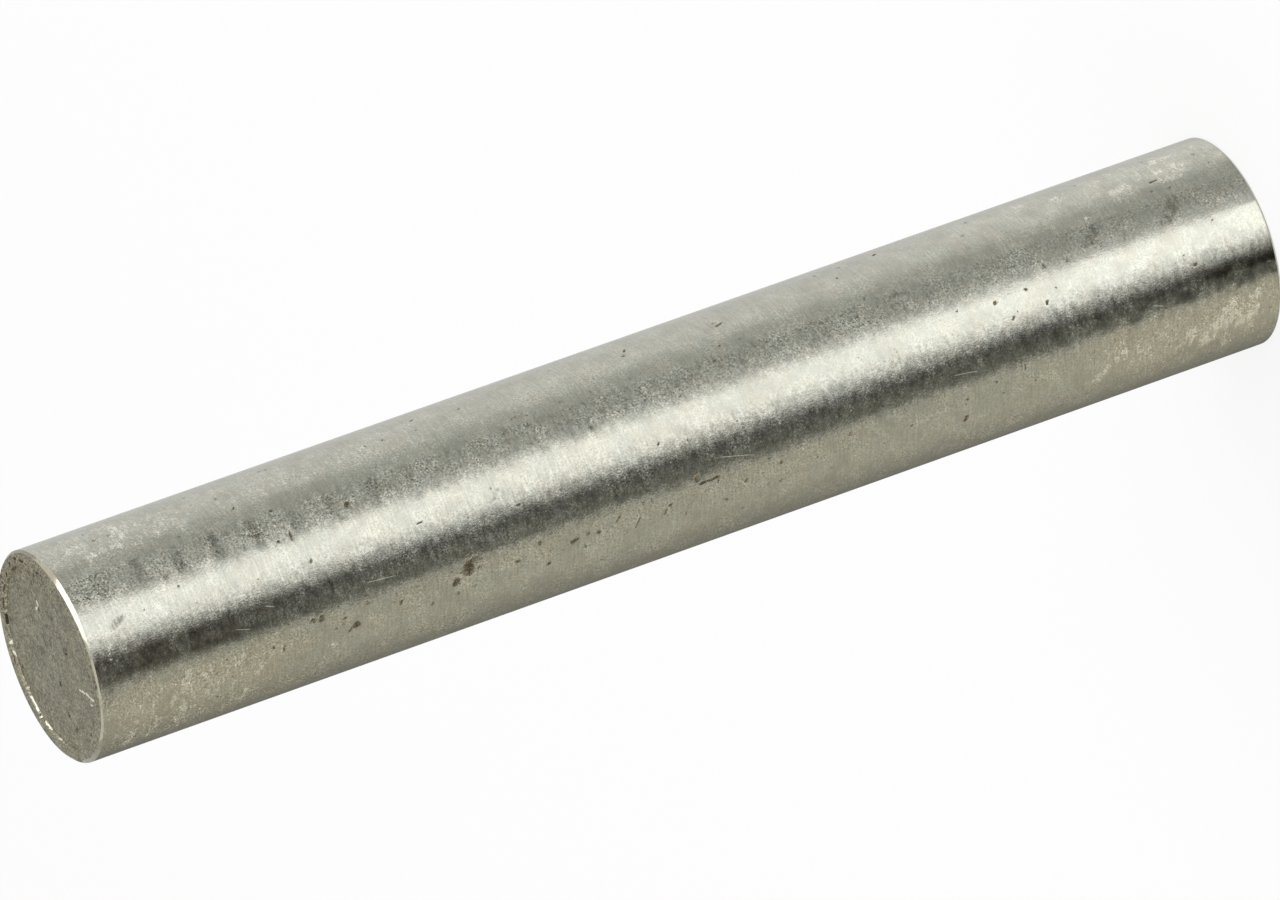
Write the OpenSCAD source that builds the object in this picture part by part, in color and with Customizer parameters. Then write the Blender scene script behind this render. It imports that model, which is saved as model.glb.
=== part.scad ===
// Axle pin: a plain round pin cut from ground steel bar.
// It stands on its foot, with the axis upright. Both ends are faced square and have their edges broken.
// The head is faced a little deeper inside a narrow flat rim, as a facing tool leaves it.

/* [Shank] */
// Diameter of the ground shank
shank_d = 12; // [4:0.5:30]
// Length over both ends
pin_length = 73; // [20:1:200]

/* [Edges] */
// Angle of both edge breaks, from the end faces
break_angle = 45; // [30:5:60]
// Width of the edge break round the foot, across its face
foot_break = 0.15; // [0.05:0.05:0.5]
// Width of the edge break round the head, across its face
head_break = 0.15; // [0.05:0.05:0.5]

/* [Head face] */
// Width of the flat rim that stands round the faced middle
rim_w = 0.65; // [0.3:0.05:1]
// Depth of the faced middle below the rim
facing_depth = 0.1; // [0.05:0.05:0.4]
// Angle of the step from the rim down to the middle, from the end face
step_angle = 60; // [45:5:80]

/* [Hidden] */
$fn = 96;
shank_r = shank_d / 2;
rim_outer_r = shank_r - head_break;
rim_inner_r = rim_outer_r - rim_w;
floor_r = rim_inner_r - facing_depth / tan(step_angle);
floor_z = pin_length - facing_depth;
steel = [0.60, 0.60, 0.55];

// Half section of the foot, from the axis out to the shank, as [radius, height].
function foot_section() = [
    [0, 0],
    [shank_r - foot_break, 0],
    [shank_r, foot_break * tan(break_angle)],
];

// Half section of the head, from the shank in to the axis, as [radius, height].
function head_section() = [
    [shank_r, pin_length - head_break * tan(break_angle)],
    [rim_outer_r, pin_length],
    [rim_inner_r, pin_length],
    [floor_r, floor_z],
    [0, floor_z],
];

// The whole pin, turned from its half section.
module axle_pin() {
    color(steel)
        rotate_extrude()
            polygon(concat(foot_section(), head_section()));
}

axle_pin();
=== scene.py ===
"""Builds a ground steel axle pin with its grain, wear and rust, standing on its foot in a plain studio.

The file is laid out as an add-on and run as a script. The pin stands at the origin with its axis along +Z. A
place on its flank is given by its turn, in degrees from the front (-Y) towards -X, and its height.
"""

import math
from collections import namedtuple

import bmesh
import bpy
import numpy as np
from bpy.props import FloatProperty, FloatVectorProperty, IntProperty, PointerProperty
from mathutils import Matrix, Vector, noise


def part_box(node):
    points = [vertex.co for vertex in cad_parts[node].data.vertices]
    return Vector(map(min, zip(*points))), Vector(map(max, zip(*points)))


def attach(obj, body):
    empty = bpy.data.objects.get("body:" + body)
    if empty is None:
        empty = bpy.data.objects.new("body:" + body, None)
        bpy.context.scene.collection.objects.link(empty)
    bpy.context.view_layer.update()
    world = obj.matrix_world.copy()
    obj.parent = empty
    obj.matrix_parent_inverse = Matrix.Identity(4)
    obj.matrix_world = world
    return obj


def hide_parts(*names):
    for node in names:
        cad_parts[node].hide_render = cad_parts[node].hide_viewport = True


bl_info = {
    "name": "Axle Pin",
    "version": (1, 0, 0),
    "blender": (4, 5, 0),
    "location": "View3D > Sidebar > Axle Pin",
    "description": "Builds a ground steel axle pin with its wear and rust, and the studio it stands in",
    "category": "Add Mesh",
}

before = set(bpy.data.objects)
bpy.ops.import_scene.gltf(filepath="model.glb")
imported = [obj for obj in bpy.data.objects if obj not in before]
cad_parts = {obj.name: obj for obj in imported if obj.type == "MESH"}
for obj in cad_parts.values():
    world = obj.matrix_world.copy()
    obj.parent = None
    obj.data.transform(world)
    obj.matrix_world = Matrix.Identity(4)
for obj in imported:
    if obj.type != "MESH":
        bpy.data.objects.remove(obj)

NODE = "axle_pin"
PIN_NAME = "ground_pin"
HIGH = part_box(NODE)[1]
RADIUS = max(HIGH.x, HIGH.y)
LENGTH = HIGH.z
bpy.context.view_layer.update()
MM = 0.001
MICRON = 0.000001
TINY = 1e-12
WHITE = (1.0, 1.0, 1.0)

# A pit, scuff, nick or burr. On the flank its place is its turn and its height, and its longer side leans
# from the axis towards a larger turn. On the head its place is x and y, and it leans from +Y towards +X.
# Turns and leans are in degrees and the rest in millimetres. A burr stands proud, so its depth is below zero.
Mark = namedtuple("Mark", "across up lean length width depth", defaults=(0,))


def mark_table(*rows):
    """The marks whose values stand in those rows."""
    return [Mark(*row) for row in rows]


RUST_PITS = mark_table(
    (29.3, 50.7, 70, 0.25, 0.85, 0.060),
    (26.8, 50.5, 20, 0.20, 0.50, 0.050),
    (35.4, 51.5, 40, 0.25, 0.42, 0.050),
    (39.6, 57.6, 20, 0.15, 0.42, 0.050),
    (41.4, 58.0, 50, 0.25, 0.16, 0.030),
    (28.4, 59.6, 80, 0.10, 0.36, 0.040),
    (28.1, 60.1, 0, 0.05, 0.26, 0.035),
    (36.0, 54.9, 60, 0.15, 0.22, 0.035),
    (38.6, 62.0, 80, 0.30, 0.14, 0.030),
    (35.6, 62.6, 0, 0.00, 0.20, 0.030),
    (32.8, 65.4, 0, 0.00, 0.15, 0.025),
    (33.2, 58.3, 10, 0.20, 0.14, 0.025),
    (36.0, 47.8, 0, 0.10, 0.22, 0.025),
    (29.6, 46.4, 0, 0.00, 0.22, 0.030),
    (44.4, 45.9, 30, 0.10, 0.22, 0.030),
    (35.6, 44.3, 10, 0.40, 0.24, 0.020),
    (35.6, 42.8, 0, 0.05, 0.28, 0.045),
    (32.3, 41.6, 50, 0.35, 0.10, 0.025),
    (38.4, 40.4, 60, 0.70, 0.09, 0.020),
    (37.9, 38.7, 70, 0.32, 0.11, 0.025),
    (34.8, 38.4, 0, 0.05, 0.20, 0.030),
    (24.9, 36.6, 30, 0.12, 0.36, 0.050),
    (28.3, 35.9, 2, 1.10, 0.14, 0.035),
    (36.1, 33.7, 50, 0.12, 0.18, 0.030),
    (32.8, 31.5, 50, 0.10, 0.22, 0.030),
    (47.9, 28.4, 0, 0.00, 0.16, 0.020),
    (38.8, 23.4, 0, 0.05, 0.15, 0.020),
    (47.3, 20.0, 70, 0.12, 0.34, 0.030),
    (34.9, 19.9, 0, 0.05, 0.17, 0.025),
    (27.8, 16.2, 88, 0.24, 0.09, 0.020),
    (17.7, 0.6, 0, 0.00, 0.22, 0.030),
    (7.0, 47.1, 0, 0.05, 0.17, 0.025),
    (-1.6, 52.8, 5, 0.30, 0.10, 0.020),
    (-1.8, 59.4, 60, 0.18, 0.17, 0.030),
    (1.1, 38.3, 50, 0.15, 0.14, 0.015),
    (-1.2, 23.4, 90, 0.70, 0.08, 0.015),
    (1.1, 16.2, 60, 0.12, 0.18, 0.025),
    (-9.5, 16.9, 45, 0.08, 0.24, 0.025),
    (-11.0, 14.9, 0, 0.00, 0.18, 0.030),
    (-0.7, 14.0, 50, 0.15, 0.20, 0.025),
    (6.5, 4.9, 0, 0.05, 0.20, 0.025),
    (-12.5, 66.9, 0, 0.05, 0.14, 0.020),
    (-17.2, 60.7, 0, 0.00, 0.20, 0.030),
    (-17.9, 59.9, 80, 0.50, 0.13, 0.030),
    (-23.8, 56.2, 40, 0.20, 0.32, 0.040),
    (-24.4, 61.6, 0, 0.30, 0.14, 0.025),
    (-34.7, 60.2, 0, 0.05, 0.24, 0.030),
    (-38.6, 65.5, 0, 0.00, 0.14, 0.020),
    (-44.7, 61.9, 50, 0.12, 0.14, 0.020),
    (-38.8, 45.3, 0, 0.00, 0.14, 0.020),
    (-39.0, 32.5, 0, 0.05, 0.13, 0.020),
    (-36.8, 23.6, 60, 0.18, 0.12, 0.025),
    (-54.6, 31.6, 20, 0.35, 0.20, 0.025),
    (-59.0, 24.0, 70, 0.15, 0.11, 0.020),
    (-61.0, 37.1, 60, 0.20, 0.18, 0.020),
    (-61.0, 47.3, 40, 0.25, 0.09, 0.020),
    (-66.4, 49.9, 30, 0.20, 0.12, 0.020),
    (-71.0, 21.0, 40, 0.15, 0.20, 0.020),
    (-40.3, 5.3, 0, 0.05, 0.18, 0.025),
    (-46.9, 4.8, 5, 0.42, 0.13, 0.015),
)

SCUFFS = mark_table(
    (60.0, 69.9, 88, 1.60, 0.90),
    (57.0, 68.2, 88, 1.80, 1.30),
    (43.0, 68.0, 88, 2.20, 0.90),
    (66.0, 71.2, 80, 1.20, 0.80),
    (48.5, 66.2, 80, 0.60, 0.80),
    (58.0, 64.4, 88, 0.50, 0.60),
    (47.0, 63.6, 60, 0.30, 0.50),
    (51.0, 59.2, 70, 0.60, 0.80),
    (50.3, 11.5, 40, 0.50, 0.70),
    (42.6, 10.3, 40, 0.40, 0.75),
    (34.3, 10.1, 45, 1.00, 0.30),
    (40.9, 9.3, 60, 0.30, 0.50),
    (46.0, 8.7, 40, 0.80, 0.25),
    (48.6, 6.3, 45, 0.60, 1.00),
    (42.6, 5.8, 45, 0.50, 0.70),
    (50.9, 4.9, 70, 0.50, 0.90),
    (58.0, 3.5, 80, 0.50, 0.75),
    (38.5, 3.7, 45, 2.20, 0.50),
    (42.6, 3.2, 45, 0.80, 1.50),
    (32.8, 2.9, 45, 0.40, 0.60),
    (43.8, 1.9, 45, 0.60, 1.00),
    (33.0, 1.7, 0, 0.50, 0.60),
    (-45.0, 4.2, 30, 0.30, 0.60),
    (-50.3, 6.8, 20, 0.60, 0.70),
    (-53.3, 3.6, 5, 1.10, 0.50),
    (-48.0, 2.8, 80, 0.60, 0.40),
    (-64.5, 3.6, 5, 1.00, 0.70),
    (-62.2, 10.0, 40, 0.40, 0.80),
    (-66.9, 12.2, 40, 0.40, 0.70),
    (-37.9, 9.6, 0, 0.10, 0.35),
    (-14.2, 67.7, 2, 0.70, 0.45),
    (-64.0, 68.2, 80, 0.80, 0.60),
    (-47.0, 69.6, 5, 1.80, 0.35),
    (-54.0, 68.0, 70, 0.60, 0.50),
    (9.4, 18.6, 50, 0.35, 0.16),
    (2.9, 21.3, 85, 0.45, 0.16),
    (8.0, 71.9, 65, 0.70, 0.80),
)

SMUDGES = mark_table(
    (-27.5, 68.5, 90, 1.20, 0.45),
    (-27.0, 63.9, 90, 0.90, 0.35),
    (-26.7, 9.9, 45, 1.00, 0.80),
    (-25.5, 5.0, 45, 1.40, 1.00),
    (-28.0, 54.3, 80, 0.60, 0.80),
    (-4.8, 71.0, 40, 0.50, 0.50),
    (-6.0, 70.7, 40, 0.30, 0.40),
    (-2.4, 48.2, 60, 0.50, 0.40),
    (-14.3, 52.2, 60, 0.30, 0.40),
    (20.0, 1.9, 20, 0.40, 0.60),
    (19.0, 5.0, 60, 0.60, 0.50),
    (29.0, 72.40, 84, 1.10, 0.50),
)

HEAD_PITS = mark_table(
    (-1.56, 0.09, 10, 0.05, 0.28, 0.060),
    (5.40, 1.00, 150, 0.20, 0.20, 0.040),
    (5.20, 0.60, 95, 0.20, 0.16, 0.040),
    (5.35, -0.80, 20, 0.40, 0.16, 0.040),
    (5.05, -1.40, 30, 0.35, 0.16, 0.040),
    (4.45, -2.30, 20, 0.30, 0.15, 0.030),
    (4.95, 2.00, 150, 0.35, 0.17, 0.035),
    (4.30, 3.10, 143, 0.55, 0.15, 0.045),
    (3.55, 3.95, 132, 0.60, 0.16, 0.050),
    (2.70, 4.45, 120, 0.50, 0.14, 0.045),
    (0.70, 5.25, 98, 0.60, 0.15, 0.045),
    (-0.35, 5.05, 84, 0.50, 0.14, 0.045),
    (5.60, 0.00, 0, 0.20, 0.20, 0.030),
    (4.38, -1.64, 0, 0.05, 0.18, 0.025),
    (-3.30, 0.35, 20, 0.10, 0.20, 0.020),
    (-0.10, -2.30, 10, 0.25, 0.14, 0.020),
)

HEAD_SMUDGES = mark_table(
    (0.45, 0.95, 40, 0.30, 0.60),
    (0.90, 0.10, 100, 0.30, 0.45),
    (0.73, -0.62, 100, 0.20, 0.32),
    (-3.20, 0.45, 120, 0.25, 0.30),
    (0.10, -2.30, 10, 0.50, 0.30),
    (1.90, -1.90, 20, 0.40, 0.30),
)

# On the faced end these marks are painted pale. Along the step that pale is partly torn metal and partly
# painted glints.
HEAD_SCUFFS = mark_table(
    (2.92, -0.74, 100, 0.22, 0.18, 0.020),
    (2.70, -0.42, 160, 0.30, 0.12, 0.020),
    (-2.30, -2.75, 25, 0.65, 0.15, 0.020),
    (-2.68, -3.50, 38, 0.75, 0.17, 0.025),
    (-2.98, -4.05, 20, 0.35, 0.12, 0.020),
    (-3.14, -3.45, 0, 0.12, 0.14, 0.015),
    (1.46, 5.06, 2, 0.26, 0.15, -0.030),
    (0.82, 5.12, 80, 0.32, 0.12, -0.015),
    (-1.14, 4.94, 175, 0.22, 0.12, -0.030),
    (-2.05, 4.74, 67, 0.95, 0.10, -0.015),
    (-2.86, 4.46, 175, 0.20, 0.14, -0.030),
    (-3.40, 3.88, 50, 0.70, 0.10, -0.015),
    (-4.28, 2.88, 20, 0.20, 0.14, -0.030),
)

# A hairline scratch in the polish: the turn and the height in millimetres of its two ends.
HAIRLINES = (
    (-14.7, 68.2, -13.7, 67.3),
    (18.3, 64.7, 21.3, 63.7),
    (18.1, 56.9, 20.1, 54.8),
    (11.8, 62.7, 14.2, 62.1),
    (17.7, 35.3, 23.6, 32.9),
    (18.9, 20.7, 21.3, 18.9),
    (27.8, 6.4, 32.5, 3.7),
    (19.5, 8.0, 22.0, 7.3),
    (31.0, 66.8, 33.5, 64.2),
)

# How wide the head's broken edge is at a turn in degrees, as a share of its plain width.
EDGE_SHARES = (
    (-180, 0.8),
    (-60, 0.9),
    (-46, 1.4),
    (-20, 1.35),
    (-8, 1.0),
    (4, 0.7),
    (20, 0.6),
    (55, 0.7),
    (90, 1.6),
    (130, 1.0),
    (180, 0.8),
)

# A soft-edged part of the flank where its finish differs: how strongly it does, the turn and height of its
# middle, and half its reach round the pin in degrees and along the pin in millimetres.
Zone = namedtuple("Zone", "strength turn height half_turn half_height")

# The grainy zones at turns -27 and 15 border the mirrored bright stripe. Their extra speckle is partly
# coarser grain and partly painted glints.
GRAINY_AND_GLINT_ZONES = (
    Zone(1.6, -27, 40, 12, 90),
    Zone(0.9, 24, 40, 32, 90),
    Zone(1.3, 15, 20, 9, 70),
    Zone(1.4, 96, 40, 60, 90),
)
SMOOTH_ZONE = Zone(1.0, -72, 40, 26, 90)
POLISHED_ZONE = Zone(1.0, -9, 40, 9, 90)
LINELESS_ZONE = Zone(1.0, 4, 0, 28, 50)
WARM_ZONES = (
    Zone(1.0, 52, 67, 32, 9),
    Zone(1.0, 46, 5, 28, 9),
)
HANDLED_ZONES = (
    Zone(1.0, -58, 4, 20, 6),
    Zone(1.4, -56, 69, 22, 6),
    Zone(0.8, -57, 60, 18, 18),
)
ROLLED_ZONE = Zone(1.0, -26, 40, 13, 60)
FOOT_SIDE_ZONE = Zone(1.0, 20, 4, 8, 12)
BROKEN_ZONES = (
    Zone(0.7, 13, 40, 22, 90),
    Zone(1.1, 13, 40, 13, 90),
    Zone(0.85, -25, 44, 15, 44),
)
PALER_ZONE = Zone(1.0, 15, 34, 9, 24)
DARKER_ZONE = Zone(1.0, -30, 0, 6, 66)
TARNISHED_ZONES = (
    Zone(0.8, 16, 72, 10, 15),
    Zone(0.8, 14, 0, 5, 8),
)
RUSTY_ZONE = Zone(1.0, 36, 47, 18, 22)
SPECKLED_ZONE = Zone(0.4, 8, 40, 18, 90)

# A glowing card on the floor, which only shiny surfaces see, and which the pin mirrors as an upright stripe
# of painted reflection:
# the turns where the stripe starts and ends, how wide its two soft edges are, how bright it is, its tint, how
# far it lies above the floor in millimetres, how many times brighter it is close to the pin, and how far its
# far end leans. Its angles are in degrees.
FloorCard = namedtuple("FloorCard", "name start end soft_start soft_end level tint lift near lean")

FLOOR_CARDS = (
    FloorCard("grey_card", -89, -14, 2, 0.5, 0.74, (1.0, 1.01, 0.98), 0.01, 0.97, 0),
    FloorCard("warm_card", 24, 89, 2, 2, 0.76, (1.0, 0.965, 0.84), 0.01, 1.06, 0),
    FloorCard("pale_card", -87, -40.8, 28, 10, 1.10, (1.0, 0.995, 0.985), 0.02, 1.10, 0),
    FloorCard("falling_card", 42, 89, 46, 0.5, 0.20, (1.0, 0.97, 0.80), 0.02, 1.0, 0),
    FloorCard("skirt_card", -26, -14, 10, 0.5, 1.05, (1.0, 1.0, 1.0), 0.03, 1.0, 0),
    FloorCard("bright_card", -16, 8, 1.7, 11.5, 2.00, (1.0, 1.0, 1.0), 0.04, 1.14, 5),
    FloorCard("dim_card", 15, 27, 2, 3, 0.24, (1.0, 1.0, 0.90), 0.05, 1.0, 0),
    FloorCard("black_card", 3.8, 18.5, 10, 3, 0.11, (1.0, 1.0, 0.92), 0.06, 1.0, 7),
)


# ---------------------------------------------------------------- settings


def length_setting(name, description, default):
    """A setting that holds a length."""
    return FloatProperty(name=name, description=description, default=default, unit="LENGTH")


def angle_setting(name, description, default):
    """A setting that holds an angle."""
    return FloatProperty(name=name, description=description, default=default, subtype="ANGLE")


def share_setting(name, description, default):
    """A setting that holds a share, from 0 to 1."""
    return FloatProperty(name=name, description=description, default=default, subtype="FACTOR")


def colour_setting(name, description, default):
    """A setting that holds a colour."""
    return FloatVectorProperty(name=name, description=description, default=default, subtype="COLOR")


class PinSettings(bpy.types.PropertyGroup):
    """Sizes of the turned pin."""

    segments: IntProperty(name="Segments", description="Faces round the shank", default=240, min=48)
    edge_break: length_setting("Edge break", "Width of the broken edge round both ends", 0.15 * MM)
    rim_width: length_setting("Rim width", "Width of the flat rim round the faced head", 0.65 * MM)
    facing_depth: length_setting("Facing depth", "Depth of the faced head below its rim", 0.1 * MM)
    step_width: length_setting("Step width", "Width of the slope down to the faced head", 0.058 * MM)
    edge_wear: length_setting("Edge wear", "How far the edges are worn back unevenly", 0.015 * MM)


class SteelSettings(bpy.types.PropertyGroup):
    """Colours and finish of the steel and its rust."""

    shank_colour: colour_setting("Shank", "The ground shank", (0.395, 0.400, 0.350))
    warm_colour: colour_setting("Warm patches", "Warmer patches of the shank", (0.405, 0.396, 0.338))
    face_colour: colour_setting("Faced ends", "The dull faced ends", (0.289, 0.280, 0.204))
    edge_colour: colour_setting("Broken edges", "The rubbed broken edges", (0.47, 0.445, 0.35))
    brown_colour: colour_setting("Brown stain", "Stain on the ends and round the pits", (0.215, 0.182, 0.118))
    scuff_colour: colour_setting("Scuffs", "The pale scuffed patches", (0.66, 0.65, 0.565))
    # pale colour of the head's scratches and burrs: partly fresh torn metal, partly painted glints along the
    # step
    torn_and_glint_colour: colour_setting("Torn metal", "Fresh metal in the head's scratches", (0.80, 0.78, 0.67))
    tarnish_colour: colour_setting("Tarnish", "Tarnish on the flank near both ends", (0.152, 0.132, 0.095))
    rust_colour: colour_setting("Rust", "Old rust in the pits", (0.060, 0.046, 0.030))
    shank_roughness: share_setting("Shank roughness", "Roughness of the ground shank", 0.15)
    face_roughness: share_setting("Face roughness", "Roughness of the faced ends", 0.45)
    rust_roughness: share_setting("Rust roughness", "Roughness of the rust", 0.85)
    grain_size: length_setting("Grain", "Width of one grain", 0.11 * MM)
    grain_relief: length_setting("Grain relief", "Height of the grain", 9.5 * MICRON)


class StudioSettings(bpy.types.PropertyGroup):
    """Floor and camera."""

    floor_colour: colour_setting("Floor", "The white floor", (0.95, 0.95, 0.95))
    camera_distance: length_setting("Camera distance", "From the camera to the pin's middle", 0.8556)
    camera_elevation: angle_setting("Camera elevation", "Height of the camera", math.radians(22.22))
    camera_roll: angle_setting("Camera roll", "Turn of the camera on its own axis", math.radians(-109.51))
    camera_lens: FloatProperty(name="Lens", description="Focal length in millimetres", default=444.35)


# ---------------------------------------------------------------- modelling helpers


def polar(turn, radius):
    """The point at that turn (radians) and radius from the axis, at floor level."""
    return Vector((-math.sin(turn) * radius, -math.cos(turn) * radius, 0))


def open_for_editing(piece, mode):
    """Puts that one piece in edit mode with nothing selected."""
    bpy.ops.object.select_all(action="DESELECT")
    bpy.context.view_layer.objects.active = piece
    piece.select_set(True)
    bpy.ops.object.mode_set(mode="EDIT")
    bpy.ops.mesh.select_mode(type=mode)
    bpy.ops.mesh.select_all(action="DESELECT")


def select_where(piece, parts, test):
    """Selects the edit mesh's faces or edges that pass the test, and nothing else."""
    bpy.ops.mesh.select_all(action="DESELECT")
    mesh = bmesh.from_edit_mesh(piece.data)
    for part in getattr(mesh, parts):
        if test(part):
            part.select_set(True)
    bmesh.update_edit_mesh(piece.data)


def corners(piece):
    """The piece's corners as an array of points."""
    points = np.empty(len(piece.data.vertices) * 3, dtype=np.float32)
    piece.data.vertices.foreach_get("co", points)
    return points.reshape(-1, 3).astype(float)


def move_corners(piece, points):
    """Puts the piece's corners at those points."""
    piece.data.vertices.foreach_set("co", points.astype(np.float32).ravel())
    piece.data.update()


def displace(piece, name, weights, strength, texture=None):
    """Moves the weighted corners along their normals with a Displace modifier, and applies it."""
    group = piece.vertex_groups.new(name=name)
    for i in np.flatnonzero(weights):
        group.add([int(i)], float(weights[i]), "REPLACE")
    modifier = piece.modifiers.new(name, "DISPLACE")
    modifier.vertex_group = name
    modifier.mid_level = 0
    modifier.strength = strength
    if texture:
        modifier.texture = texture
        modifier.texture_coords = "LOCAL"
    bpy.ops.object.select_all(action="DESELECT")
    bpy.context.view_layer.objects.active = piece
    piece.select_set(True)
    bpy.ops.object.modifier_apply(modifier=modifier.name)
    piece.vertex_groups.remove(piece.vertex_groups[name])


# ---------------------------------------------------------------- the pin


def is_upright(edge):
    """Whether an edge of the flank runs along the axis for some length."""
    low, high = edge.verts
    long_enough = abs(low.co.z - high.co.z) > LENGTH / 100
    return long_enough and abs(low.co.xy.length - high.co.xy.length) < RADIUS / 1000


def is_end_loop(edge):
    """Whether an edge lies round one end of the blank."""
    return abs(edge.verts[0].co.z - edge.verts[1].co.z) < LENGTH / 1000


def turn_blank(sizes):
    """A plain cylinder on the floor, with both of its edges broken."""
    bpy.ops.object.select_all(action="DESELECT")
    bpy.ops.mesh.primitive_cylinder_add(
        vertices=sizes.segments, radius=RADIUS, depth=LENGTH, location=(0, 0, LENGTH / 2)
    )
    pin = bpy.context.object
    pin.name = PIN_NAME
    pin.data.name = PIN_NAME
    bpy.ops.object.transform_apply(location=True)
    open_for_editing(pin, "EDGE")
    select_where(pin, "edges", is_end_loop)
    bpy.ops.mesh.bevel(offset=sizes.edge_break, segments=2, profile=0.25, clamp_overlap=False)
    bpy.ops.object.mode_set(mode="OBJECT")
    return pin


def face_ends(pin, sizes):
    """Cuts the head's face down inside its rim, and rings both faces so that marks can be pressed in."""
    rim_rings = 4
    ring = 0.25 * MM
    nearly_level = 0.99
    for up in (1, -1):
        open_for_editing(pin, "FACE")
        select_where(pin, "faces", lambda face: face.normal.z * up > nearly_level)
        inner = RADIUS - sizes.edge_break
        if up == 1:
            for _ in range(rim_rings):
                bpy.ops.mesh.inset(thickness=sizes.rim_width / rim_rings)
            bpy.ops.mesh.inset(thickness=sizes.step_width, depth=-sizes.facing_depth)
            inner -= sizes.rim_width + sizes.step_width
        for _ in range(int(inner / ring) - 1):
            bpy.ops.mesh.inset(thickness=ring)
        bpy.ops.mesh.poke()
        bpy.ops.object.mode_set(mode="OBJECT")


def ring_flank(pin):
    """Cuts the flank into rings short enough to carry the marks."""
    cuts = 15
    rounds = 2
    for _ in range(rounds):
        open_for_editing(pin, "EDGE")
        select_where(pin, "edges", is_upright)
        bpy.ops.mesh.subdivide(number_cuts=cuts)
        bpy.ops.object.mode_set(mode="OBJECT")


def mark_ends(mark, on_head):
    """The points at the two ends of a mark's longer side."""
    lean = math.radians(mark.lean)
    ends = []
    for half in (-mark.length / 2, mark.length / 2):
        if on_head:
            x = mark.across + half * math.sin(lean)
            y = mark.up + half * math.cos(lean)
            ends.append(Vector((x * MM, y * MM, LENGTH)))
        else:
            turn = math.radians(mark.across) + half * MM * math.sin(lean) / RADIUS
            ends.append(polar(turn, RADIUS) + Vector((0, 0, (mark.up + half * math.cos(lean)) * MM)))
    return np.array(ends)


def distance_to_mark(points, mark, on_head):
    """How far each point is from the line along the middle of a mark.

    On the head only the distance across its face counts, and points well below the face are endlessly far.
    """
    face_depth = 0.2 * MM
    start, end = mark_ends(mark, on_head)
    run = end - start
    flat = np.array((1, 1, 0 if on_head else 1))
    share = np.clip((points - start) @ run / max(run @ run, TINY), 0, 1)
    away = np.linalg.norm((points - start - share[:, None] * run) * flat, axis=1)
    if on_head:
        away[points[:, 2] < LENGTH - face_depth] = math.inf
    return away


def refine_round_marks(pin, marks, head_marks):
    """Cuts the faces round each mark four times finer, and rounds the flank again."""
    share_of_width = 0.85
    margin = 0.15
    flank_start = 0.9995 * RADIUS
    open_for_editing(pin, "FACE")
    mesh = bmesh.from_edit_mesh(pin.data)
    mesh.faces.ensure_lookup_table()
    middles = np.array([face.calc_center_median() for face in mesh.faces])
    near = np.zeros(len(middles), dtype=bool)
    for on_head, group in ((False, marks), (True, head_marks)):
        for mark in group:
            reach = (mark.width * share_of_width + margin) * MM
            near |= distance_to_mark(middles, mark, on_head) < reach
    for i in np.flatnonzero(near):
        mesh.faces[int(i)].select_set(True)
    bmesh.update_edit_mesh(pin.data)
    bpy.ops.mesh.subdivide(number_cuts=3)
    bpy.ops.object.mode_set(mode="OBJECT")
    points = corners(pin)
    out = np.hypot(points[:, 0], points[:, 1])
    flank = out > flank_start
    points[flank, :2] *= (RADIUS / out[flank])[:, None]
    move_corners(pin, points)


def mark_weights(points, mark, on_head, ragged, grain):
    """How strongly each point belongs to a mark: 1 in its middle, falling to 0 at its ragged edge."""
    increment = 0.9
    lacunarity = 2.1
    octaves = 3
    steepness = 2.0
    farthest = 2
    away = distance_to_mark(points, mark, on_head) / (mark.width * MM / 2)
    weights = np.zeros(len(points))
    for i in np.flatnonzero(away < farthest):
        rough = noise.fractal(Vector(points[i]) / (grain * MM), increment, lacunarity, octaves)
        weights[i] = steepness * (1.0 - away[i] * (1 + ragged * rough))
    return np.clip(weights, 0, 1)


def press_marks(pin, name, marks, head_marks, ragged=0.6):
    """Presses the marks into the surface, and keeps how strong each one is as an attribute of that name."""
    grain = 0.22
    pressed = 0.7
    points = corners(pin)
    deepest = max(max(abs(mark.depth) for mark in (*marks, *head_marks)), TINY)
    depth = np.zeros(len(points))
    stain = np.zeros(len(points))
    for on_head, group in ((False, marks), (True, head_marks)):
        for mark in group:
            weights = mark_weights(points, mark, on_head, ragged, grain)
            stain = np.maximum(stain, weights)
            if mark.depth >= 0:
                depth = np.maximum(depth, weights * mark.depth / deepest)
    displace(pin, name, depth, -deepest * MM * pressed)
    attribute = pin.data.attributes.new(name, "FLOAT", "POINT")
    attribute.data.foreach_set("value", stain.astype(np.float32))


def raise_burrs(pin, head_marks):
    """Lifts the torn metal along the step of the head, and keeps it below the rim."""
    ragged = 0.6
    grain = 0.2
    rim_depth = 0.03 * MM
    points = corners(pin)
    height = np.zeros(len(points))
    burrs = [mark for mark in head_marks if mark.depth < 0]
    tallest = max(-mark.depth for mark in burrs)
    for mark in burrs:
        height = np.maximum(height, mark_weights(points, mark, True, ragged, grain) * -mark.depth / tallest)
    height[points[:, 2] > LENGTH - rim_depth] = 0
    displace(pin, "burrs", height, tallest * MM)


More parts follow.
